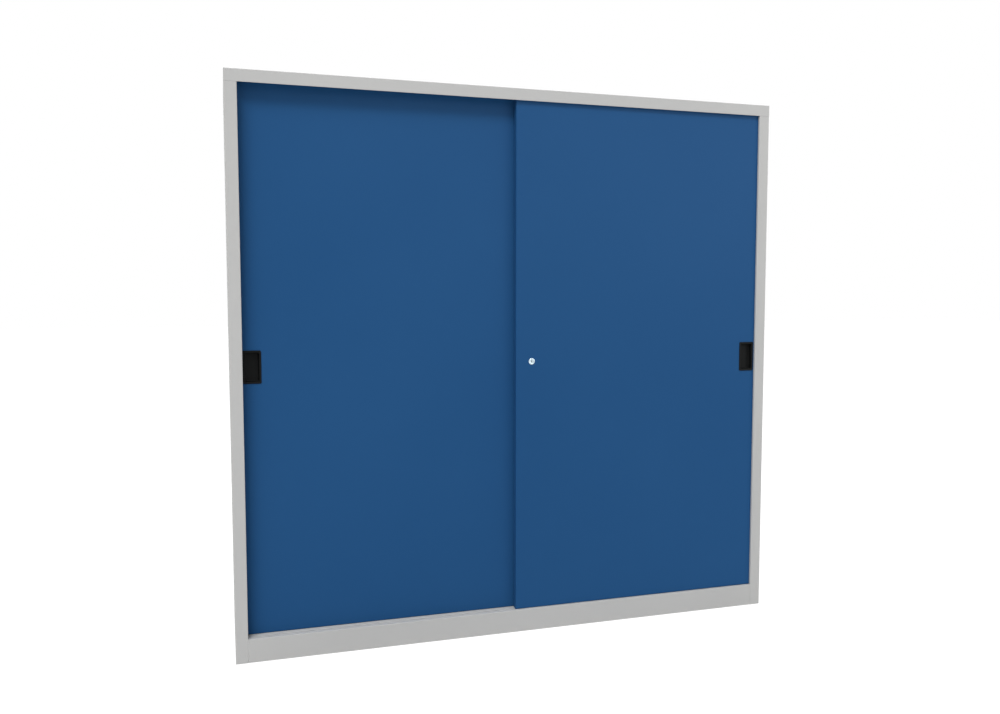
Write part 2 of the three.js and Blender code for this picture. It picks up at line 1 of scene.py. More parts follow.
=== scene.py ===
import json
import math
import bpy
import numpy as np
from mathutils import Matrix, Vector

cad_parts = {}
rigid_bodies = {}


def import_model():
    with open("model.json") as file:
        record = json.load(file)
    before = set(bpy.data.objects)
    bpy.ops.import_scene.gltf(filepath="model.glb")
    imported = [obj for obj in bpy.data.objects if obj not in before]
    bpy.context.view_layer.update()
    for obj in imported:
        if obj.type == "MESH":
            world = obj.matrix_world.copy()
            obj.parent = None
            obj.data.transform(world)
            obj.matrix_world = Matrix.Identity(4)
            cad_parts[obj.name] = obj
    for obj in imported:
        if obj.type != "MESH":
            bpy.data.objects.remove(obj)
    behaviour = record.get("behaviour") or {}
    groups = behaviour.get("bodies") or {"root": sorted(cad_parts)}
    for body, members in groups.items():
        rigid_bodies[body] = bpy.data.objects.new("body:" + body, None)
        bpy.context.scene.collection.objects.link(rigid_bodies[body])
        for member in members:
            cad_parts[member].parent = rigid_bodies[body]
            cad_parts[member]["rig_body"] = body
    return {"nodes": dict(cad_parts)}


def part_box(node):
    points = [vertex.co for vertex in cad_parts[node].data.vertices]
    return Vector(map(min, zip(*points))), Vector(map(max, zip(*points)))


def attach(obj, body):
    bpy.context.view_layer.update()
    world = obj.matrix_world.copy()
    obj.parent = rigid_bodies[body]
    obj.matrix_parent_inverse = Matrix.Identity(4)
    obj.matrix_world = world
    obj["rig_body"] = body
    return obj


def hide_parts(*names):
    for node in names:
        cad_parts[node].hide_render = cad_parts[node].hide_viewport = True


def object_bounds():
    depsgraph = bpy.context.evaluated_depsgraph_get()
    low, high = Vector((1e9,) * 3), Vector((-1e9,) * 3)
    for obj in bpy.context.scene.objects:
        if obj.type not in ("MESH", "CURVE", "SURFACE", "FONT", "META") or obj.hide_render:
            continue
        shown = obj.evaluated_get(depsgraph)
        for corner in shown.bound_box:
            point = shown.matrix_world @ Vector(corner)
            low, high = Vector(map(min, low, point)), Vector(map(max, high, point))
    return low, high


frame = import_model()
cadLow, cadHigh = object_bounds()
print("frame loaded:", len(frame["nodes"]), "nodes")

# The camera, set so that the four corners of the cabinet's front fall where the photo has them.
cameraPlace = {
    "location": (-1.01207, -3.27953, 1.23834),
    "tilt": math.pi / 2 - 0.0725,
    "turn": -0.2986,
    "lens": 32.205,
    "sensor": 36.0,
}


# An object that shows some data, put into the scene.
def newObject(name, data):
    made = bpy.data.objects.new(name, data)
    bpy.context.scene.collection.objects.link(made)
    return made


# A camera looks along its own -Z, so it is tilted up from straight down and then turned about Z.
def makeCamera():
    lens = bpy.data.cameras.new("photoCamera")
    lens.sensor_fit = "HORIZONTAL"
    lens.sensor_width = cameraPlace["sensor"]
    lens.lens = cameraPlace["lens"]
    camera = newObject("photoCamera", lens)
    camera.location = cameraPlace["location"]
    camera.rotation_euler = (cameraPlace["tilt"], 0, cameraPlace["turn"])
    bpy.context.scene.camera = camera


makeCamera()
print("camera placed")


# Materials. A node is made with its inputs set: a value goes on the socket, a socket is linked.
def addNode(tree, kind, inputs=(), **settings):
    made = tree.nodes.new("ShaderNode" + kind)
    for name, value in settings.items():
        setattr(made, name, value)
    for name, value in dict(inputs).items():
        if isinstance(value, bpy.types.NodeSocket):
            tree.links.new(value, made.inputs[name])
        else:
            made.inputs[name].default_value = value
    return made


# The curve of a screen's values: straight up to the knee and a power above it.
screenCurve = {"knee": 0.04045, "slope": 12.92, "offset": 0.055, "power": 2.4}


# Eight-bit values of a screen's colour taken off that curve.
def linear(red, green, blue):
    values, offset = np.array([red, green, blue]) / 255, screenCurve["offset"]
    straight = values / screenCurve["slope"]
    curved = ((values + offset) / (1 + offset)) ** screenCurve["power"]
    return (*np.where(values <= screenCurve["knee"], straight, curved).tolist(), 1)


# A material whose node tree is still empty.
def newMaterial(name):
    material = bpy.data.materials.new(name)
    material.use_nodes = True
    tree = material.node_tree
    tree.nodes.clear()
    return material, tree


# How fine each noise is, and the range where a noise's values mostly lie.
mixing = {"cloudDetail": 3.0, "grainDetail": 2.0, "fineDetail": 1.0, "noiseLow": 0.3, "noiseHigh": 0.7}


# A noise over a place whose coordinates are first multiplied by the stretch.
def noiseOf(tree, place, scale, detail, stretch=(1, 1, 1)):
    moved = addNode(tree, "Mapping", {"Vector": place, "Scale": stretch})
    inputs = {"Vector": moved.outputs["Vector"], "Scale": scale, "Detail": detail}
    return addNode(tree, "TexNoise", inputs).outputs["Fac"]


# Stretches a noise's usual range over another one.
def spreadOver(tree, noise, low, high):
    inputs = {
        "Value": noise, "From Min": mixing["noiseLow"], "From Max": mixing["noiseHigh"],
        "To Min": low, "To Max": high,
    }
    return addNode(tree, "MapRange", inputs).outputs["Result"]


# Every finish has a colour that clouds between two tones under a fine speckle, a roughness that
# wanders, and a relief of two grains, a coarse and a fine one.
def surfaceFinish(name, look):
    material, tree = newMaterial(name)
    place = addNode(tree, "TexCoord").outputs["Object"]
    stretch = look.get("stretch", (1, 1, 1))
    clouds = noiseOf(tree, place, look["cloudScale"], mixing["cloudDetail"])
    coarse = noiseOf(tree, place, look["grainScale"], mixing["grainDetail"], stretch)
    fine = noiseOf(tree, place, look["fineScale"], mixing["fineDetail"], stretch)
    tone = addNode(tree, "Mix", data_type="RGBA")  # its colours are inputs 6 and 7 and output 2
    tree.links.new(spreadOver(tree, clouds, 0.0, 1.0), tone.inputs[0])
    tone.inputs[6].default_value = linear(*look["darker"])
    tone.inputs[7].default_value = linear(*look["lighter"])
    speckle = spreadOver(tree, fine, 1 - look["speckle"], 1 + look["speckle"])
    colour = addNode(tree, "HueSaturation", {"Color": tone.outputs[2], "Value": speckle})
    low, high = look["roughness"]
    rough = spreadOver(tree, coarse, low, high)
    under = addNode(tree, "Bump", {"Height": fine, "Strength": 1.0, "Distance": look["fineDepth"]})
    relief = {"Height": coarse, "Strength": 1.0, "Distance": look["grainDepth"]}
    relief["Normal"] = under.outputs["Normal"]
    bump = addNode(tree, "Bump", relief)
    shader = addNode(tree, "BsdfPrincipled", {
        "Base Color": colour.outputs["Color"],
        "Roughness": rough,
        "Metallic": look["metallic"],
        "Specular IOR Level": look["gloss"],
        "Normal": bump.outputs["Normal"],
    })
    output = addNode(tree, "OutputMaterial", {"Surface": shader.outputs["BSDF"]})
    output.is_active_output = True
    return material


framePaint = {
    "darker": (179, 179, 178), "lighter": (182, 182, 181), "cloudScale": 2.2, "speckle": 0.012,
    "grainScale": 380, "grainDepth": 0.00003, "fineScale": 1500, "fineDepth": 0.000008,
    "roughness": (0.42, 0.5), "metallic": 0.0, "gloss": 0.05,
}
doorPaint = {
    "darker": (33, 76, 121), "lighter": (35, 78, 123), "cloudScale": 1.6, "speckle": 0.02,
    "grainScale": 420, "grainDepth": 0.00003, "fineScale": 1600, "fineDepth": 0.000008,
    "roughness": (0.36, 0.44), "metallic": 0.0, "gloss": 0.03,
}
blackPlastic = {
    "darker": (17, 18, 18), "lighter": (21, 22, 22), "cloudScale": 14, "speckle": 0.05,
    "grainScale": 1900, "grainDepth": 0.00006, "fineScale": 4200, "fineDepth": 0.00002,
    "roughness": (0.42, 0.56), "metallic": 0.0, "gloss": 0.06,
}
lockChrome = {
    "darker": (196, 212, 220), "lighter": (208, 224, 232), "cloudScale": 60, "speckle": 0.01,
    "grainScale": 900, "grainDepth": 0.00001, "fineScale": 5000, "fineDepth": 0.000004,
    "roughness": (0.12, 0.22), "metallic": 1.0, "gloss": 0.5,
}
zincSteel = {
    "darker": (168, 172, 176), "lighter": (196, 199, 202), "cloudScale": 90, "speckle": 0.03,
    "grainScale": 260, "grainDepth": 0.00001, "fineScale": 2400, "fineDepth": 0.00001,
    "roughness": (0.28, 0.44), "metallic": 1.0, "gloss": 0.5, "stretch": (0.12, 1, 1),
}
whiteNylon = {
    "darker": (222, 219, 208), "lighter": (232, 230, 221), "cloudScale": 40, "speckle": 0.01,
    "grainScale": 700, "grainDepth": 0.00002, "fineScale": 3000, "fineDepth": 0.00001,
    "roughness": (0.4, 0.52), "metallic": 0.0, "gloss": 0.4,
}
blackRubber = {
    "darker": (32, 32, 33), "lighter": (40, 40, 41), "cloudScale": 20, "speckle": 0.04,
    "grainScale": 900, "grainDepth": 0.00004, "fineScale": 3600, "fineDepth": 0.00002,
    "roughness": (0.74, 0.86), "metallic": 0.0, "gloss": 0.3,
}

# Each look with the slot that it stands for, and each finish: its material and that slot.
looks = {
    "framePaint": (framePaint, "frame_paint"),
    "doorPaint": (doorPaint, "door_paint"),
    "blackPlastic": (blackPlastic, "black_plastic"),
    "lockChrome": (lockChrome, "lock_chrome"),
    "zincSteel": (zincSteel, "zinc_steel"),
    "whiteNylon": (whiteNylon, "nylon"),
    "blackRubber": (blackRubber, "black_rubber"),
}
finishes = {name: (surfaceFinish(name, look), slot) for name, (look, slot) in looks.items()}
print("finishes mixed")

# Surfaces. A shell is a pair of arrays: its points, and its faces of four corners each.
meshing = {
    "bendSteps": 5, "roundSides": 48, "quarterSides": 7, "edgeSteps": 4, "fineEdgeSteps": 5,
    "smoothAngle": math.radians(38), "leastTurn": 0.01, "close": 1e-6, "digits": 7,
}
everywhere = 100.0  # further out than any point of the cabinet


# Drops the points that no face uses, and turns the faces outwards: the sum over all faces of
# corner . (corner x corner) is six times the shell's volume, and negative when they point in.
def tidyShell(points, faces):
    used, faces = np.unique(faces, return_inverse=True)
    points, faces = points[used], faces.reshape(-1, 4)
    a, b, c, d = (points[faces[:, k]] - points.mean(axis=0) for k in range(4))
    volume = (np.cross(a, b) * c).sum() + (np.cross(a, c) * d).sum()
    return points, faces if volume > 0 else faces[:, ::-1]


# The faces of a grid with so many rows and columns, each closed on itself if asked.
def gridFaces(rows, columns, closeRows=False, closeColumns=False):
    i = np.arange(rows if closeRows else rows - 1)[:, None]
    j = np.arange(columns if closeColumns else columns - 1)[None, :]
    below, beside = (i + 1) % rows, (j + 1) % columns
    corners = [i * columns + j, i * columns + beside, below * columns + beside, below * columns + j]
    return np.stack(np.broadcast_arrays(*corners), axis=-1).reshape(-1, 4)


# A sheet: its outer face, its inner face, and a wall along every edge that only one face uses.
# What has its middle in an opening is left out first.
def sheetShell(outer, inner, faces, openings=()):
    for low, high in openings:
        middles = outer[faces].mean(axis=1)
        faces = faces[~np.all((middles > low) & (middles < high), axis=1)]
    count = len(outer)
    edges = np.stack([faces, np.roll(faces, -1, axis=1)], axis=2).reshape(-1, 2)
    rim = edges[~np.isin(edges @ [count, 1], edges @ [1, count])]
    walls = np.stack([rim[:, 1], rim[:, 0], rim[:, 0] + count, rim[:, 1] + count], axis=1)
    return tidyShell(np.vstack([outer, inner]), np.vstack([faces, faces[:, ::-1] + count, walls]))


# A line through corners with every bend rounded to one radius, negative to the right: in a bend
# the point is centre - radius * normal while the direction turns evenly. Gives points and
# left-hand normals.
def bentLine(corners, radius):
    corners = np.array(corners, float)
    runs = np.diff(corners, axis=0)
    along = runs / np.linalg.norm(runs, axis=1, keepdims=True)
    points, ways = [corners[:1]], [along[:1]]
    for corner, before, after in zip(corners[1:-1], along, along[1:]):
        left = np.array([-before[1], before[0]])
        turn = math.atan2(left @ after, before @ after)
        steps = meshing["bendSteps"] if abs(turn) > meshing["leastTurn"] else 0
        angles = np.linspace(0, turn, steps + 1)
        way = np.cos(angles)[:, None] * before + np.sin(angles)[:, None] * left
        normal = np.stack([-way[:, 1], way[:, 0]], axis=1)
        swing = math.copysign(radius, turn)
        start = corner - before * radius * abs(math.tan(turn / 2))
        points.append(start + (left - normal) * swing)
        ways.append(way)
    way = np.vstack([*ways, along[-1:]])
    return np.vstack([*points, corners[-1:]]), np.stack([-way[:, 1], way[:, 0]], axis=1)


# Puts two flat coordinates and a place on an axis into the order x, y, z.
def ordered(first, second, along, axis):
    places = {"x": (along, first, second), "y": (first, along, second), "z": (first, second, along)}
    return np.stack(places[axis], axis=-1)


# A folded sheet: a bent line carried straight along an axis through its stations, with the
# sheet's thickness on the line's left, or on its right when negative.
def foldedSheet(corners, thickness, radius, axis, stations, openings=()):
    line, normals = bentLine(corners, radius)
    stations = np.unique(np.round(stations, meshing["digits"]))
    along = np.tile(stations, len(line))

    def face(points):
        return ordered(*np.repeat(points, len(stations), axis=0).T, along, axis)

    faces = gridFaces(len(line), len(stations))
    return sheetShell(face(line), face(line + normals * thickness), faces, openings)


# A tray folded from one sheet: a flat face of (u, v), and a bent line of (out, depth) carried
# round its edge; at a corner both edges move out together. A window is a rectangle left out of
# the face. A round hole is a square left out, with the points on its edge drawn onto a circle.
def foldedTray(sides, line, thickness, radius, place, holes=(), windows=(), openings=(), extraUs=()):
    start = -line[0][0]
    shares = np.linspace(-1, 1, meshing["roundSides"] // 4 + 1)
    lines = []
    for k, (low, high) in enumerate(sides):
        inside = [hole[k] + hole[2] * shares for hole in holes] + [window[k] for window in windows]
        along = np.concatenate([[low + start, high - start], *inside])
        lines.append(np.unique(along.round(meshing["digits"])))
    lines[0] = np.unique(np.concatenate([lines[0], np.round(extraUs, meshing["digits"])]))
    rows, columns = len(lines[0]), len(lines[1])
    u, v = (grid.ravel() for grid in np.meshgrid(*lines, indexing="ij"))
    faces = gridFaces(rows, columns)
    middleU, middleV = u[faces].mean(axis=1), v[faces].mean(axis=1)
    for holeU, holeV, size in holes:
        kept = np.maximum(abs(middleU - holeU), abs(middleV - holeV)) > size
        faces, middleU, middleV = faces[kept], middleU[kept], middleV[kept]
        close = meshing["close"]
        onEdge = abs(np.maximum(abs(u - holeU), abs(v - holeV)) - size) < close
        pull = np.where(onEdge, size / np.maximum(np.hypot(u - holeU, v - holeV), close), 1.0)
        u, v = holeU + (u - holeU) * pull, holeV + (v - holeV) * pull
    for (lowU, highU), (lowV, highV) in windows:
        kept = (middleU < lowU) | (middleU > highU) | (middleV < lowV) | (middleV > highV)
        faces, middleU, middleV = faces[kept], middleU[kept], middleV[kept]
    index = np.arange(rows * columns).reshape(rows, columns)
    edge = np.concatenate([index[:-1, 0], index[-1, :-1], index[:0:-1, -1], index[0, :0:-1]])
    flat = np.stack([u, v], axis=1)
    ends = np.array([[lines[0][0], lines[1][0]], [lines[0][-1], lines[1][-1]]])
    outward = np.isclose(flat[edge], ends[1]) * 1.0 - np.isclose(flat[edge], ends[0])
    outline, normals = bentLine(line, radius)

    def layer(section):
        rim = flat[edge] + (section[1:, :1, None] + start) * outward
        deep = np.repeat(section[1:, 1], len(edge))
        across = np.vstack([flat, rim.reshape(-1, 2)])
        return place(across[:, 0], across[:, 1], np.concatenate([np.full(len(flat), section[0, 1]), deep]))

    loops = np.concatenate([edge, len(flat) + np.arange((len(outline) - 1) * len(edge))])
    rimFaces = loops[gridFaces(len(outline), len(edge), closeColumns=True)]
    inner = layer(outline + normals * thickness)
    return sheetShell(layer(outline), inner, np.vstack([faces, rimFaces]), openings)


# A solid drawn as loops of equally many points. Strips of faces from one half of a loop to the
# other cap the first and the last, or these two are joined when it is a ring.
def loopShell(loops, ring=False):
    rows, columns = loops.shape[:2]
    faces = [gridFaces(rows, columns, closeRows=ring, closeColumns=True)]
    if not ring:
        k = np.arange(columns // 2 - 1)
        cap = np.stack([k, k + 1, columns - 2 - k, columns - 1 - k], axis=1)
        faces += [cap[:, ::-1], cap + (rows - 1) * columns]
    return tidyShell(loops.reshape(-1, 3), np.vstack(faces))


# Flat outlines stacked along an axis, each at its own place on it.
def stackedShell(outlines, places, axis, centre, ring=False):
    first, second = np.moveaxis(np.array(outlines) + np.array(centre), -1, 0)
    along = np.broadcast_to(np.array(places, float)[:, None], first.shape)
    return loopShell(ordered(first, second, along, axis), ring)


# Evenly spaced directions round a circle.
def unitCircle(sides):
    angles = np.arange(sides) * 2 * math.pi / sides
    return np.stack([np.cos(angles), np.sin(angles)], axis=1)


# A profile of (radius, place) turned round an axis.
def turnedShell(profile, axis, centre, ring=False, sides=meshing["roundSides"]):
    radii, places = np.array(profile, float).T
    return stackedShell(radii[:, None, None] * unitCircle(sides), places, axis, centre, ring)


# A profile of half a turned piece and its mirror image on the other side of the middle.
def mirrored(half, middle):
    return [(r, middle + y) for r, y in half] + [(r, middle - y) for r, y in half[::-1]]


# The middle of a node's box, seen from the front.
def frontCentre(node):
    low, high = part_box(node)
    return (low.x + high.x) / 2, (low.z + high.z) / 2


# A rectangle with rounded corners: a quarter circle about each inset corner.
def roundedOutline(width, height, corner):
    quarter = np.linspace(0, math.pi / 2, meshing["quarterSides"] + 1)
    angles = (np.arange(4)[:, None] * math.pi / 2 + quarter).ravel()
    turn = np.stack([np.cos(angles), np.sin(angles)], axis=1)
    signs = np.repeat([[1, 1], [-1, 1], [-1, -1], [1, -1]], len(quarter), axis=0)
    return signs * (np.array([width, height]) / 2 - corner) + corner * turn


# A rectangle whose points match a circle's: half a side times sine or cosine to 2 / power.
def squareOutline(width, height, power):
    circle = unitCircle(meshing["roundSides"])
    return np.sign(circle) * abs(circle) ** (2 / power) * np.array([width, height]) / 2


# A quarter circle of radius 1 in even steps: how far in from the side each point lies, and how
# far in from the end.
def quarterTurn(steps):
    angles = np.linspace(0, math.pi / 2, steps + 1)
    return 1 - np.sin(angles), 1 - np.cos(angles)


# A block with rounded corners whose two ends are drawn in by a quarter circle.
def softBlock(low, high, corner, edge, axis="z"):
    k = "xyz".index(axis)
    low, high = np.array(low, float), np.array(high, float)
    width, height = np.delete(high - low, k)
    draw, rise = quarterTurn(meshing["edgeSteps"])
    insets = edge * np.concatenate([draw, draw[::-1]])
    places = [*(low[k] + edge * rise), *(high[k] - edge * rise[::-1])]
    outlines = [roundedOutline(width - 2 * i, height - 2 * i, corner - i) for i in insets]
    return stackedShell(outlines, places, axis, np.delete((low + high) / 2, k))


# Makes one piece of several shells. It stands for a node, rides where that node rides and,
# unless it has a name of its own, is named after it.
def makePiece(node, shells, finish, name=None):
    first, *rest = node.split("_")
    name = name or first + "".join(word.capitalize() for word in rest)
    shellPoints, shellFaces = zip(*shells)
    starts = np.cumsum([0, *map(len, shellPoints)])
    faces = np.vstack([faces + start for faces, start in zip(shellFaces, starts)])
    mesh = bpy.data.meshes.new(name)
    mesh.from_pydata(np.vstack(shellPoints), [], faces)
    mesh.shade_smooth()
    mesh.set_sharp_from_angle(angle=meshing["smoothAngle"])
    piece = newObject(name, mesh)
    modifier = piece.modifiers.new("evenShading", "WEIGHTED_NORMAL")
    modifier.keep_sharp = True
    material, slot = finishes[finish]
    mesh.materials.append(material)
    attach(piece, frame["nodes"][node]["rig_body"])
    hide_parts(node)


# The carcass.
carcass = {"sheet": 0.001, "bend": 0.0018, "seam": 0.0003, "lip": 0.012, "lipGap": 0.00005}
topPanel = {"flange": 0.028, "rearInset": 0.0253}
sidePanel = {"postReturn": 0.009, "rearFlange": 0.025, "headerGap": 0.0004}
basePanel = {
    "foot": 0.02, "groove": 0.005, "plinthEnd": 0.9589, "bendShare": 0.7,
    "bearers": 3, "bearerWidth": 0.05, "bearerRoom": 0.002,
}
backPanel = {"corner": 0.002, "edge": 0.0003, "rivets": 13, "rivetInset": 0.006, "rivetEnd": 0.04}
rivet = {"radius": 0.0035, "rise": 0.0009, "poleShare": 0.1, "sides": 24}
partition = {"lip": 0.01}

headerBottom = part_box("top_panel")[0].z
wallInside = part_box("back_panel_right")[1].x
interiorFront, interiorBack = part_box("centre_partition")[0].y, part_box("centre_partition")[1].y


# The post's return, its face, the side and the rear flange are one sheet, notched for the header.
def makeSidePanel(node, side):
    low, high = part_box(node)
    sheet, bend = carcass["sheet"], carcass["bend"]
    outer, postEdge = (high.x, low.x) if side > 0 else (low.x, high.x)
    corners = [
        (postEdge, low.y + sidePanel["postReturn"]),
        (postEdge, low.y),
        (outer, low.y),
        (outer, high.y),
        (outer - side * sidePanel["rearFlange"], high.y),
    ]
    notchZ = headerBottom - sidePanel["headerGap"]
    notch = ((-everywhere, -everywhere, notchZ), (everywhere, low.y + bend, everywhere))
    stations = (low.z, notchZ, high.z)
    shell = foldedSheet(corners, side * sheet, bend, "z", stations, [notch])
    makePiece(node, [shell], "framePaint")


# A small angle under a sheet, along Y: a lip just below it and a flange that hangs down.
def hangingAngle(side, outer, top, drop, ends):
    corners = [(side * (outer - carcass["lip"]), top), (side * outer, top), (side * outer, top - drop)]
    return foldedSheet(corners, -side * carcass["sheet"], carcass["bend"], "y", ends)


# The header, the top and its rear flange are one sheet; an angle hangs at each side.
def makeTopPanel():
    low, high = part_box("top_panel")
    flangeEnd = high.x - topPanel["rearInset"]
    corners = [(low.y, low.z), (low.y, high.z), (high.y, high.z), (high.y, high.z - topPanel["flange"])]
    rear = high.y - carcass["bend"]
    cornersOut = [
        ((flangeEnd, rear, -everywhere), (everywhere, everywhere, everywhere)),
        ((-everywhere, rear, -everywhere), (-flangeEnd, everywhere, everywhere)),
    ]
    stations = (low.x, -flangeEnd, flangeEnd, high.x)
    shells = [foldedSheet(corners, -carcass["sheet"], carcass["bend"], "x", stations, cornersOut)]
    under = high.z - carcass["sheet"] - carcass["lipGap"]
    drop = under - (high.z - topPanel["flange"])
    for side in (-1, 1):
        shells.append(hangingAngle(side, wallInside, under, drop, (interiorFront, interiorBack)))
    makePiece("top_panel", shells, "framePaint")


# The plinth and the floor with its two pressed grooves are one sheet, wider behind the posts.
# Below it are an angle at each side and channels that bear the floor.
def makeBasePanel():
    low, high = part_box("base_panel")
    sheet, bend, groove = carcass["sheet"], carcass["bend"], basePanel["groove"]
    floorFront = low.y + sidePanel["postReturn"] + carcass["seam"]
    corners = [(low.y + basePanel["foot"], low.z), (low.y, low.z), (low.y, high.z), (floorFront, high.z)]
    for node in ("right_door_wheel_left", "left_door_wheel_left"):
        wheelLow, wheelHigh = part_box(node)
        track = (wheelLow.y + wheelHigh.y) / 2
        near, far = track - groove / 2, track + groove / 2
        corners += [(near, high.z), (near, high.z - groove), (far, high.z - groove), (far, high.z)]
    corners += [(high.y, high.z), (high.y, low.z), (high.y - basePanel["foot"], low.z)]
    plinthEnd = basePanel["plinthEnd"]
    footEnd = low.y + basePanel["foot"] + sheet
    besidePosts = []
    for start, end in ((plinthEnd, everywhere), (-everywhere, -plinthEnd)):
        besidePosts.append(((start, -everywhere, -everywhere), (end, floorFront, everywhere)))
        besidePosts.append(((start, -everywhere, -everywhere), (end, footEnd, low.z + bend)))
    stations = (low.x, -plinthEnd, plinthEnd, high.x)
    grooveBend = bend * basePanel["bendShare"]
    shells = [foldedSheet(corners, -sheet, grooveBend, "x", stations, besidePosts)]
    under = high.z - sheet - carcass["lipGap"]
    drop = under - (high.z - topPanel["flange"])
    room = basePanel["bearerRoom"]
    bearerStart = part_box("left_door_wheel_left")[1].y + room
    for side in (-1, 1):
        shells.append(hangingAngle(side, high.x, under, drop, (bearerStart, high.y - room)))
    for i in range(basePanel["bearers"]):
        middle = ((i + 1) / (basePanel["bearers"] + 1) - 0.5) * 2 * high.x
        left, right = middle - basePanel["bearerWidth"] / 2, middle + basePanel["bearerWidth"] / 2
        channel = [(left, low.z), (left, under), (right, under), (right, low.z)]
        ends = (bearerStart, high.y - basePanel["foot"] - carcass["seam"])
        shells.append(foldedSheet(channel, -sheet, bend, "y", ends))
    makePiece("base_panel", shells, "framePaint")


# A channel as wide as the wall that it makes, open to the rear, with its lips turned in.
def makePartition():
    low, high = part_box("centre_partition")
    lip = partition["lip"]
    corners = [
        (high.x - lip, high.y), (high.x, high.y), (high.x, low.y),
        (low.x, low.y), (low.x, high.y), (low.x + lip, high.y),
    ]
    shell = foldedSheet(corners, -carcass["sheet"], carcass["bend"], "z", (low.z, high.z))
    makePiece("centre_partition", [shell], "framePaint")


# A rivet's head, low and domed: its profile is a quarter of an ellipse.
def rivetHead(x, face, z):
    radius, top = rivet["radius"], face + rivet["rise"]
    angles = np.linspace(0, math.pi / 2, meshing["fineEdgeSteps"] + 1)[:-1]
    dome = list(zip(radius * np.cos(angles), face + rivet["rise"] * np.sin(angles)))
    profile = [*dome, (radius * rivet["poleShare"], top)]
    return turnedShell(profile, "y", (x, z), sides=rivet["sides"])


# Half of the back: a flat sheet with eased edges, riveted to the partition along the seam.
def makeBackPanel(node, side):
    low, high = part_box(node)
    shells = [softBlock(low, high, backPanel["corner"], backPanel["edge"], "y")]
    end = backPanel["rivetEnd"]
    zs = np.linspace(low.z + end, high.z - end, backPanel["rivets"])
    shells += [rivetHead(side * backPanel["rivetInset"], high.y + carcass["lipGap"], z) for z in zs]
    makePiece(node, shells, "framePaint")


makeSidePanel("side_panel_left", -1)
makeSidePanel("side_panel_right", 1)
makeTopPanel()
makeBasePanel()
makePartition()
makeBackPanel("back_panel_left", -1)
makeBackPanel("back_panel_right", 1)
print("carcass folded")

# Inside: the slotted uprights with their clips, and the shelves.
upright = {
    "sheet": 0.0012, "bend": 0.0016, "depth": 0.01, "slotWidth": 0.016, "slotHeight": 0.005,
    "firstSlot": 0.072, "slotPitch": 0.09, "slots": 20,
}
clip = {
    "sheet": 0.0015, "bend": 0.0017, "width": 0.014, "drop": 0.012, "hook": 0.009, "reach": 0.014,
    "gap": 0.0001,
}
shelf = {"sheet": 0.001, "bend": 0.002, "start": 0.004, "hem": 0.012, "perBay": 4}


# A clip hooked through a slot: a lip behind the sheet, a plate in front, a tongue under the shelf.
def shelfClip(face, inward, middle, slotZ):
    behind = -upright["sheet"] - clip["sheet"] - clip["gap"]
    seam = carcass["seam"]
    steps = [
        (behind, clip["hook"]), (behind, seam), (clip["gap"], seam),
        (clip["gap"], -clip["drop"]), (clip["reach"], -clip["drop"]),
    ]
    corners = [(face + inward * out, slotZ + up) for out, up in steps]
    ends = (middle - clip["width"] / 2, middle + clip["width"] / 2)
    return foldedSheet(corners, inward * clip["sheet"], clip["bend"], "y", ends)


# A channel against a wall. Slot i of its face starts at the first slot's height + i * pitch.
def makeUpright(node, inward, shelfNodes):
    low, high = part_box(node)
    root = low.x if inward > 0 else high.x
    face = root + inward * upright["depth"]
    middle = (low.y + high.y) / 2
    slotNear, slotFar = middle - upright["slotWidth"] / 2, middle + upright["slotWidth"] / 2
    corners = [
        (root, low.y), (face, low.y), (face, slotNear),
        (face, slotFar), (face, high.y), (root, high.y),
    ]
    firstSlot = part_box("base_panel")[1].z + upright["firstSlot"]
    slotZs = firstSlot + upright["slotPitch"] * np.arange(upright["slots"])
    stations = np.concatenate([[low.z, high.z], slotZs, slotZs + upright["slotHeight"]])
    slots = [
        ((-everywhere, slotNear, z), (everywhere, slotFar, z + upright["slotHeight"])) for z in slotZs
    ]
    shells = [foldedSheet(corners, inward * upright["sheet"], upright["bend"], "z", stations, slots)]
    for shelfNode in shelfNodes:
        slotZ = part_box(shelfNode)[0].z + clip["drop"] - clip["sheet"] - carcass["seam"]
        shells.append(shelfClip(face, inward, middle, slotZ))
    makePiece(node, shells, "framePaint")


# A tray upside down: its rims hang from the face and are folded in to a hem.
def makeShelf(node):
    low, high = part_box(node)
    deep = high.z - low.z
    line = [(-shelf["start"], 0), (0, 0), (0, deep), (-shelf["hem"], deep)]

    def place(u, v, depth):
        return np.stack([u, v, high.z - depth], axis=1)

    sides = ((low.x, high.x), (low.y, high.y))
    makePiece(node, [foldedTray(sides, line, shelf["sheet"], shelf["bend"], place)], "framePaint")


for bay, side in (("left", -1), ("right", 1)):
    shelfNodes = [f"shelf_{bay}_{i + 1}" for i in range(shelf["perBay"])]
    for end in ("front", "rear"):
        makeUpright(f"upright_{bay}_side_{end}", -side, shelfNodes)
        makeUpright(f"upright_{bay}_partition_{end}", side, shelfNodes)
    for node in shelfNodes:
        makeShelf(node)
print("uprights and shelves in")

# The doors, and the screws that hold what they run on.
screw = {
    "shank": 0.0019, "head": 0.0036, "rise": 0.002, "edge": 0.008, "socket": 0.0012,
    "socketDepth": 0.0009, "socketSides": 6, "tipShare": 0.6, "tipLengthShare": 0.5,
    "rimShare": 0.4, "mouthShare": 1.1, "mouthDepthShare": 0.1,
}
door = {
    "sheet": 0.001, "bend": 0.0018, "start": 0.004, "hem": 0.02, "lockHole": 0.0094, "strikeHole": 0.006,
    "slotEndRoom": 0.002, "slotSideRoom": 0.0004,
}
stiffener = {"sheet": 0.001, "bend": 0.002, "lip": 0.014}
grip = {
    "plate": 0.002, "rim": 0.007, "wall": 0.002, "corner": 0.005, "cornerShare": 0.5,
    "leastCorner": 0.002, "edge": 0.0012, "foot": 0.004, "draft": 0.0008,
}

lockMiddle = frontCentre("lock_plug")
lockHoles = {"left": door["strikeHole"], "right": door["lockHole"]}


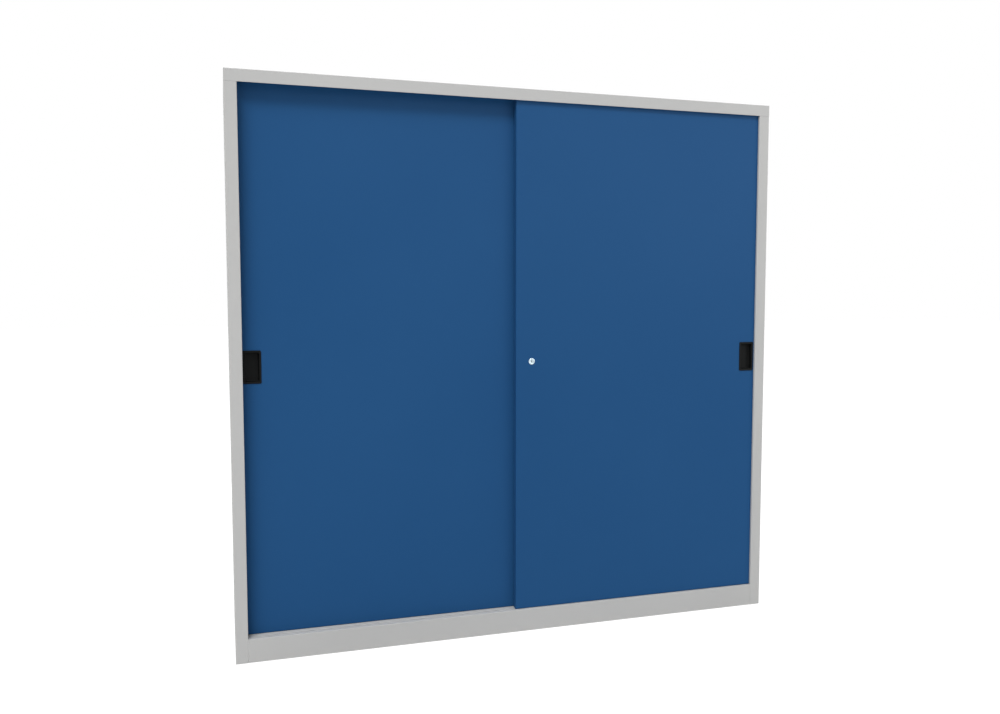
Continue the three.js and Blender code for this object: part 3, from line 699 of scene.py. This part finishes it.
# A bracket or a shoe has a screw near each of its ends.
def screwPlaces(node):
    low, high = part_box(node)
    return low.x + screw["edge"], high.x - screw["edge"]


# The opening that a wheel runs in: its two ends along X, and its near and far side.
def wheelOpening(name, end):
    low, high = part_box(f"{name}_door_wheel_{end}")
    endRoom, sideRoom = door["slotEndRoom"], door["slotSideRoom"]
    return (low.x - endRoom, high.x + endRoom), low.y - sideRoom, high.y + sideRoom


# The face, with a hole for the lock or its pin and a window for the grip, is a tray. It is open
# below for wheels and screws, and above for screws.
def makeDoorPanel(name):
    low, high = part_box(f"{name}_door_panel")
    gripLow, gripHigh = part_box(f"{name}_door_grip")
    cupInset = grip["rim"] - grip["wall"] - carcass["seam"]
    window = ((gripLow.x + cupInset, gripHigh.x - cupInset), (gripLow.z + cupInset, gripHigh.z - cupInset))
    screwRoom = screw["shank"] + door["slotSideRoom"]
    below, above = [], []
    for end in ("left", "right"):
        ends, near, far = wheelOpening(name, end)
        below.append(ends)
        for x in screwPlaces(f"{name}_door_roller_bracket_{end}"):
            below.append((x - screwRoom, x + screwRoom))
        for x in screwPlaces(f"{name}_door_guide_shoe_{end}"):
            above.append((x - screwRoom, x + screwRoom))
    slots = [((start, near, -everywhere), (stop, far, low.z + door["bend"])) for start, stop in below]
    slots += [((start, near, high.z - door["bend"]), (stop, far, everywhere)) for start, stop in above]
    thick = high.y - low.y
    line = [
        (-door["start"], 0), (0, 0), (0, near - low.y), (0, far - low.y), (0, thick), (-door["hem"], thick),
    ]

    def place(u, v, depth):
        return np.stack([u, low.y + depth, v], axis=1)

    hole = (*lockMiddle, lockHoles[name])
    tray = foldedTray(
        ((low.x, high.x), (low.z, high.z)), line, door["sheet"], door["bend"], place,
        holes=[hole], windows=[window], openings=slots, extraUs=np.ravel(below + above),
    )
    makePiece(f"{name}_door_panel", [tray], "doorPaint")


# A hat channel, with its lips against the door's face.
def makeStiffener(node):
    low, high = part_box(node)
    sheet, lip = stiffener["sheet"], stiffener["lip"]
    lipBack = low.y + sheet
    corners = [
        (low.x, lipBack), (low.x + lip, lipBack), (low.x + lip, high.y),
        (high.x - lip, high.y), (high.x - lip, lipBack), (high.x, lipBack),
    ]
    makePiece(node, [foldedSheet(corners, -sheet, stiffener["bend"], "z", (low.z, high.z))], "doorPaint")


# A flush grip, one skin from the back of its cup to the floor of its recess: rounded outlines
# stacked along Y, with quarter circles at the plate's edge, the rim and the recess's foot.
def makeGrip(node):
    low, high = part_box(node)
    width, tall = high.x - low.x, high.z - low.z
    plateBack, edge, foot = low.y + grip["plate"], grip["edge"], grip["foot"]
    cup, recess = grip["rim"] - grip["wall"], grip["rim"]
    floor = high.y - grip["wall"]
    curve = list(zip(*quarterTurn(meshing["fineEdgeSteps"])))
    steps = [(cup + edge * draw, high.y - edge * rise) for draw, rise in curve]
    steps += [(cup, plateBack), (0, plateBack)]
    steps += [(edge * draw, low.y + edge * rise) for draw, rise in curve[::-1]]
    steps += [(recess - edge * draw, low.y + edge * rise) for draw, rise in curve]
    recess += grip["draft"]
    steps += [(recess + foot * draw, floor - foot * rise) for draw, rise in curve[::-1]]
    outlines = []
    for inset, _ in steps:
        corner = grip["corner"] - max(inset - cup, 0) * grip["cornerShare"]
        corner = max(corner, grip["leastCorner"])
        outlines.append(roundedOutline(width - 2 * inset, tall - 2 * inset, corner))
    skin = stackedShell(outlines, [y for _, y in steps], "y", frontCentre(node))
    makePiece(node, [skin], "blackPlastic")


for name in ("left", "right"):
    makeDoorPanel(name)
    makeStiffener(f"{name}_door_stiffener_1")
    makeStiffener(f"{name}_door_stiffener_2")
    makeGrip(f"{name}_door_grip")
print("doors hung")

# What a door runs on.
wheel = {"bore": 0.00306, "hub": 0.005, "rim": 0.0034, "web": 0.0024, "webEdge": 0.0092, "edge": 0.0006}
axle = {
    "shank": 0.003, "head": 0.0045, "headThickness": 0.0015, "edge": 0.0004, "room": 0.00005,
    "crownShare": 0.5, "easeShares": (0.4, 1.6),
}
bracket = {"sheet": 0.0015, "bend": 0.0018, "height": 0.017}
shoe = {
    "thickness": 0.003, "tongue": 0.03, "corner": 0.004, "edge": 0.0006, "rail": 0.0012,
    "side": 0.0005, "cornerShare": 0.9,
}


# A roller: the bore, hub, web and rim are one profile, mirrored about the track and turned.
def makeWheel(node):
    low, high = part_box(node)
    track, edge = (low.y + high.y) / 2, wheel["edge"]
    radius, hubHalf = (high.z - low.z) / 2, (high.y - low.y) / 2
    draw, rise = quarterTurn(meshing["edgeSteps"])
    bore, hub, webEdge = wheel["bore"], wheel["hub"], wheel["webEdge"]
    web, rim = wheel["web"] / 2, wheel["rim"] / 2
    half = [(bore, hubHalf - edge / 2), (bore + edge / 2, hubHalf)]
    half += [(hub - edge, hubHalf), (hub, hubHalf - edge), (hub + edge / 2, web)]
    half += [(webEdge, web), (webEdge + edge, rim), *zip(radius - edge * draw, rim - edge * rise)]
    roller = turnedShell(mirrored(half, track), "y", frontCentre(node), ring=True)
    makePiece(node, [roller], "whiteNylon")


# A pin with an eased head at each end.
def makeAxle(node):
    low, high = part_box(node)
    track, reach, edge = (low.y + high.y) / 2, (high.y - low.y) / 2, axle["edge"]
    head, shoulder = axle["head"], reach - axle["headThickness"]
    upper, lower = axle["easeShares"]
    half = [(head * axle["crownShare"], reach), (head - edge, reach - edge * upper)]
    half += [(head, reach - edge * lower), (head, shoulder), (axle["shank"], shoulder)]
    makePiece(node, [turnedShell(mirrored(half, track), "y", frontCentre(node))], "zincSteel")


# A pan-head screw that points down: a domed head with a six-sided socket, and its shank.
def panScrew(x, y, face, tip):
    circle, sides, shank = unitCircle(meshing["roundSides"]), screw["socketSides"], screw["shank"]
    rise, rim, depth = screw["rise"], screw["rimShare"], screw["socketDepth"]
    blend = np.linspace(0, 1, meshing["roundSides"] // sides, endpoint=False)[:, None]
    nextCorner = np.roll(unitCircle(sides), -1, axis=0)
    hexagon = (unitCircle(sides)[:, None] * (1 - blend) + nextCorner[:, None] * blend).reshape(-1, 2)
    angles = np.linspace(0, math.pi / 2, meshing["edgeSteps"] + 1)
    dome = screw["head"] - rise * rim * (1 - np.cos(angles))
    top = face + rise
    outlines = [shank * screw["tipShare"] * circle, shank * circle, shank * circle]
    places = [tip, tip + shank * screw["tipLengthShare"], face]
    outlines += [screw["head"] * circle] + [r * circle for r in dome]
    places += [face, *(face + rise * (rim + (1 - rim) * np.sin(angles)))]
    socket = screw["socket"] * hexagon
    outlines += [socket * screw["mouthShare"], socket, socket]
    places += [top, top - depth * screw["mouthDepthShare"], top - depth]
    return stackedShell(outlines, places, "z", (x, y))


# The two screws of a bracket or a shoe, midway across it.
def screwPair(node, face):
    low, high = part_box(node)
    return [panScrew(x, (low.y + high.y) / 2, face, low.z) for x in screwPlaces(node)]


# A channel, open at the top, with an opening below for its wheel and one in each wall for the axle.
def makeBracket(name, end):
    node = f"{name}_door_roller_bracket_{end}"
    low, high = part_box(node)
    hubX, hubZ = frontCentre(f"{name}_door_wheel_{end}")
    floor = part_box(f"{name}_door_panel")[0].z + door["sheet"] + carcass["seam"]
    ends, near, far = wheelOpening(name, end)
    top = floor + bracket["height"]
    hole = axle["shank"] + axle["room"]
    wall = [(low.y, top), (low.y, hubZ + hole), (low.y, hubZ - hole), (low.y, floor)]
    corners = [*wall, (near, floor), (far, floor), *((high.y, z) for _, z in wall[::-1])]
    openings = [
        ((ends[0], near, -everywhere), (ends[1], far, floor + bracket["sheet"])),
        ((hubX - hole, -everywhere, hubZ - hole), (hubX + hole, everywhere, hubZ + hole)),
    ]
    stations = (low.x, *ends, hubX - hole, hubX + hole, high.x)
    shells = [foldedSheet(corners, bracket["sheet"], bracket["bend"], "x", stations, openings)]
    makePiece(node, shells + screwPair(node, floor + bracket["sheet"]), "zincSteel")


# A plate on top of the door, with a tongue that stands up into the guide rail.
def makeShoe(name, end):
    node = f"{name}_door_guide_shoe_{end}"
    low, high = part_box(node)
    middle, track = (low.x + high.x) / 2, (low.y + high.y) / 2
    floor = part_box(f"{name}_door_panel")[1].z + carcass["seam"]
    top = floor + shoe["thickness"]
    railLow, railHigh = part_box("guide_rail_front" if name == "right" else "guide_rail_rear")
    tongueHalf = (railHigh.y - railLow.y) / 2 - shoe["rail"] - shoe["side"]
    plate = softBlock((low.x, low.y, floor), (high.x, high.y, top), shoe["corner"], shoe["edge"])
    tongueLow = (middle - shoe["tongue"] / 2, track - tongueHalf, top - shoe["edge"])
    tongueHigh = (middle + shoe["tongue"] / 2, track + tongueHalf, high.z)
    tongue = softBlock(tongueLow, tongueHigh, tongueHalf * shoe["cornerShare"], shoe["edge"])
    makePiece(node, [plate, tongue, *screwPair(node, top)], "whiteNylon")


for name in ("left", "right"):
    for end in ("left", "right"):
        makeWheel(f"{name}_door_wheel_{end}")
        makeAxle(f"{name}_door_axle_{end}")
        makeBracket(name, end)
        makeShoe(name, end)
print("rollers and shoes fitted")

# What a door meets: the guide rails, the stops in them and the buffer strips.
rail = {"sheet": 0.0012, "bend": 0.0015}
stop = {"corner": 0.001, "edge": 0.0008}
buffer = {"corner": 0.004, "edge": 0.002}


# A channel, open below.
def makeRail(node):
    low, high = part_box(node)
    corners = [(low.y, low.z), (low.y, high.z), (high.y, high.z), (high.y, low.z)]
    makePiece(node, [foldedSheet(corners, -rail["sheet"], rail["bend"], "x", (low.x, high.x))], "zincSteel")


for node in ("guide_rail_front", "guide_rail_rear"):
    makeRail(node)
for node in ("left_door_open_stop", "right_door_open_stop"):
    makePiece(node, [softBlock(*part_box(node), stop["corner"], stop["edge"], "x")], "blackRubber")
for node in ("door_buffer_left", "door_buffer_right"):
    makePiece(node, [softBlock(*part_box(node), buffer["corner"], buffer["edge"])], "blackRubber")
print("rails, stops and buffers in")

# The lock.
lock = {
    "plunger": 0.0076, "running": 0.00006, "barrel": 0.009, "flange": 0.0115, "flangeThickness": 0.0016,
    "edge": 0.0005, "flangeEdge": 0.001, "mouthShares": (0.4, 0.2), "thread": 0.00035, "pitch": 0.001,
    "pin": 0.004, "shoulderInset": 0.004, "poleShare": 0.1, "bevelShare": 0.5, "tipShare": 0.6,
    "plug": 0.006, "plugLength": 0.016, "plugEaseShare": 0.6,
    "keyWidth": 0.0027, "keyLength": 0.0096, "keyDepth": 0.009, "keyPower": 8,
    "keyMouthShare": 1.12, "keyEaseShare": 0.4, "paintedShadeDepth": 0.0008,
}
nut = {"across": 0.024, "bore": 0.0093, "chamfer": 0.0006, "faceShare": 0.985, "easeShare": 0.3}
strike = {"hole": 0.006, "edge": 0.0003, "power": 14}
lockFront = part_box("lock_housing")[0].y


# A ring with a rounded flange in front and a threaded barrel, whose radius is a zigzag.
def makeLockHousing():
    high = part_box("lock_housing")[1]
    flangeBack, edge = lockFront + lock["flangeThickness"], lock["edge"]
    bore = lock["plunger"] + lock["running"]
    out, deep = lock["mouthShares"]
    profile = [(bore, lockFront + edge), (bore + edge * out, lockFront + edge * deep)]
    profile += [(bore + edge, lockFront)]
    draw, rise = quarterTurn(meshing["fineEdgeSteps"])
    easing = lock["flangeEdge"]
    profile += zip(lock["flange"] - easing * draw, lockFront + easing * rise)
    threadStart = flangeBack + 2 * lock["pitch"]
    turns = int((high.y - threadStart) / lock["pitch"])
    places = threadStart + lock["pitch"] / 2 * np.arange(2 * turns)
    radii = lock["barrel"] - lock["thread"] * (np.arange(2 * turns) % 2)
    profile += [(lock["flange"], flangeBack), (lock["barrel"], flangeBack), *zip(radii, places)]
    profile += [(lock["barrel"] - edge, high.y), (bore, high.y)]
    makePiece("lock_housing", [turnedShell(profile, "y", lockMiddle, ring=True)], "lockChrome")


# The plunger: a sleeve round the plug that ends in a pin with a rounded tip.
def makeLockPlunger():
    low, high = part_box("lock_plunger")
    bore, edge, pin = lock["plug"] + lock["running"], lock["edge"], lock["pin"]
    sleeve, bevel, ease = lock["plunger"], edge * lock["bevelShare"], edge * lock["tipShare"]
    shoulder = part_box("lock_housing")[1].y - lock["shoulderInset"]
    plugEnd = low.y + lock["plugLength"] + carcass["seam"]
    profile = [(bore * lock["poleShare"], plugEnd), (bore, plugEnd)]
    profile += [(bore, low.y + bevel), (bore + bevel, low.y)]
    profile += [(sleeve - edge, low.y), (sleeve, low.y + edge)]
    profile += [(sleeve, shoulder - edge), (sleeve - edge, shoulder), (pin, shoulder)]
    profile += [(pin, high.y - 2 * edge), (pin - ease, high.y - ease), (pin - 2 * edge, high.y)]
    makePiece("lock_plunger", [turnedShell(profile, "y", lockMiddle)], "lockChrome")


# The plug: a round core whose front narrows from a circle to the key slot, and the slot's walls.
# A black insert stands in the slot, a little behind the front: painted shade for the keyway's dark depth.
def makeLockPlug():
    low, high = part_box("lock_plug")
    circle, edge, plug = unitCircle(meshing["roundSides"]), lock["edge"], lock["plug"]
    width, length, power = lock["keyWidth"], lock["keyLength"], lock["keyPower"]
    ease = edge * lock["plugEaseShare"]
    slot = squareOutline(width, length, power)
    outlines = [circle * (plug - edge), circle * plug, circle * plug]
    places = [high.y, high.y - edge, low.y + ease]
    outlines += [circle * (plug - ease), slot * lock["keyMouthShare"], slot, slot]
    places += [low.y, low.y, low.y + edge * lock["keyEaseShare"], low.y + lock["keyDepth"]]
    makePiece("lock_plug", [stackedShell(outlines, places, "y", lockMiddle)], "lockChrome")
    # Painted shade: the black insert darkens the key slot where a deep keyway would be in shadow.
    room = 2 * lock["running"]
    outlines = [squareOutline(width - r, length - r, power) for r in (2 * room, room, room)]
    depths = np.array([lock["paintedShadeDepth"], lock["paintedShadeDepth"] + room, lock["keyDepth"] - room])
    paintedSlotShade = stackedShell(outlines, low.y + depths, "y", lockMiddle)
    makePiece("lock_plug", [paintedSlotShade], "blackPlastic", "keySlotPaintedShade")


# A six-sided nut: the radius is half the width across flats over the cosine of the angle from the
# nearest flat, held in by a cone at both faces.
def makeLockNut():
    low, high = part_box("lock_nut")
    sides, across, rise = meshing["roundSides"], nut["across"] / 2, nut["chamfer"]
    circle, angles = unitCircle(sides), np.arange(sides) * 2 * math.pi / sides
    fromFlat = (angles + math.pi / 6) % (math.pi / 3) - math.pi / 6
    radii = across / np.cos(fromFlat)[:, None]
    hexagon, held = radii * circle, np.minimum(radii, across + rise / 2) * circle
    bore, end, ease = circle * nut["bore"], held * nut["faceShare"], rise * nut["easeShare"]
    outlines = [end, held, hexagon, hexagon, held, end, bore, bore]
    places = [low.y, low.y + ease, low.y + rise, high.y - rise, high.y - ease, high.y, high.y, low.y]
    turned = [outline[:, ::-1] for outline in outlines]
    makePiece("lock_nut", [stackedShell(turned, places, "y", lockMiddle, ring=True)], "zincSteel")


# A plate with eased edges and a round hole for the lock's pin.
def makeStrikePlate():
    low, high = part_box("left_door_strike_plate")
    width, tall, edge = high.x - low.x, high.z - low.z, strike["edge"]
    outer = squareOutline(width, tall, strike["power"])
    inner = squareOutline(width - 2 * edge, tall - 2 * edge, strike["power"])
    hole = unitCircle(meshing["roundSides"]) * strike["hole"]
    outlines = [hole, inner, outer, outer, inner, hole]
    places = [low.y, low.y, low.y + edge, high.y - edge, high.y, high.y]
    plate = stackedShell(outlines, places, "y", lockMiddle, ring=True)
    makePiece("left_door_strike_plate", [plate], "zincSteel")


makeLockHousing()
makeLockPlunger()
makeLockPlug()
makeLockNut()
makeStrikePlate()
print("lock in")

# The floor and the light. The two gloss softboxes show in reflections alone.
stage = {
    "floorSize": 60.0, "floorDrop": 0.0004, "floorTone": (216, 216, 216), "floorGlow": 0.86,
    "floorShare": 0.24,
}
studio = {"overhead": 1.1, "around": 0.2}
lamps = {
    "frontSoftbox": {"place": (-6.8, -9.8, 15.5), "aim": (0, -0.2, 1.0), "size": (9.0, 4.6), "power": 2250},
    "rightSoftbox": {"place": (3.0, -3.2, 2.4), "aim": (0.5, 0, 1.2), "size": (1.6, 1.6), "power": 10},
    "backSoftbox": {"place": (0.0, 5.0, 5.4), "aim": (0, 0, 1.0), "size": (4.0, 2.4), "power": 140},
    "rightGlossSoftbox": {
        "place": (8.9, -8.0, 3.75), "aim": (8.9, 0.0, 3.75), "size": (8.0, 6.5), "power": 650,
        "lightsDiffuse": False,
    },
    "upperGlossSoftbox": {
        "place": (2.2, -8.0, 4.8), "aim": (2.2, 0.0, 4.8), "size": (5.4, 4.4), "power": 240,
        "lightsDiffuse": False,
    },
}


# One shader for what looks straight at it or sees it in a reflection, another for all other light.
def seenOrLit(tree, seen, lit, out):
    path = addNode(tree, "LightPath")
    sees = path.outputs["Is Camera Ray"]
    for kind in ("Is Glossy Ray", "Is Transmission Ray"):
        sees = addNode(tree, "Math", {0: sees, 1: path.outputs[kind]}, operation="MAXIMUM").outputs[0]
    mix = addNode(tree, "MixShader", {0: sees, 1: lit, 2: seen})
    tree.links.new(mix.outputs[0], out)


# A wide square just under the cabinet. Seen, it is a glow plus a share of the light that falls on
# it, so it is white but for the shadows. To other light it is grey.
def makeFloor():
    half = stage["floorSize"] / 2
    corners = np.array([(-half, -half), (half, -half), (half, half), (-half, half)])
    mesh = bpy.data.meshes.new("floor")
    points = np.column_stack([corners, np.full(4, cadLow.z - stage["floorDrop"])])
    mesh.from_pydata(points, [], [(0, 1, 2, 3)])
    floor = newObject("floor", mesh)
    material, tree = newMaterial("paleFloor")
    lit = addNode(tree, "BsdfDiffuse", {"Color": linear(*stage["floorTone"])})
    share = stage["floorShare"]
    shade = addNode(tree, "BsdfDiffuse", {"Color": (share, share, share, 1)})
    glow = addNode(tree, "Emission", {"Strength": stage["floorGlow"]})
    seen = addNode(tree, "AddShader", {0: shade.outputs[0], 1: glow.outputs[0]})
    output = addNode(tree, "OutputMaterial")
    seenOrLit(tree, seen.outputs[0], lit.outputs[0], output.inputs["Surface"])
    mesh.materials.append(material)


# The room's light: a white sky whose strength grows with a direction's height.
def makeWorld():
    world = bpy.data.worlds.new("studio")
    bpy.context.scene.world = world
    world.use_nodes = True
    tree = world.node_tree
    tree.nodes.clear()
    way = addNode(tree, "TexCoord").outputs["Generated"]
    height = addNode(tree, "SeparateXYZ", {0: way}).outputs["Z"]
    strength = addNode(tree, "MapRange", {
        "Value": height, "From Min": 0.0, "From Max": 1.0,
        "To Min": studio["around"], "To Max": studio["overhead"],
    })
    white = (1, 1, 1, 1)
    lit = addNode(tree, "Background", {"Color": white, "Strength": strength.outputs["Result"]})
    seen = addNode(tree, "Background", {"Color": white, "Strength": 1.0})
    output = addNode(tree, "OutputWorld")
    seenOrLit(tree, seen.outputs[0], lit.outputs[0], output.inputs["Surface"])


# A lamp shines along its own -Z, which is turned from its place towards its aim.
def makeLamps():
    for name, look in lamps.items():
        light = bpy.data.lights.new(name, "AREA")
        light.shape = "RECTANGLE"
        light.size, light.size_y = look["size"]
        light.energy = look["power"]
        lamp = newObject(name, light)
        place, aim = np.array(look["place"]), np.array(look["aim"])
        ahead = (aim - place) / np.linalg.norm(aim - place)
        lamp.visible_diffuse = look.get("lightsDiffuse", True)
        lamp.location = place
        lamp.rotation_euler = (math.acos(-ahead[2]), 0, math.atan2(ahead[1], ahead[0]) - math.pi / 2)


makeFloor()
makeWorld()
makeLamps()
bpy.context.scene.view_settings.view_transform = "Standard"
print("studio lit")
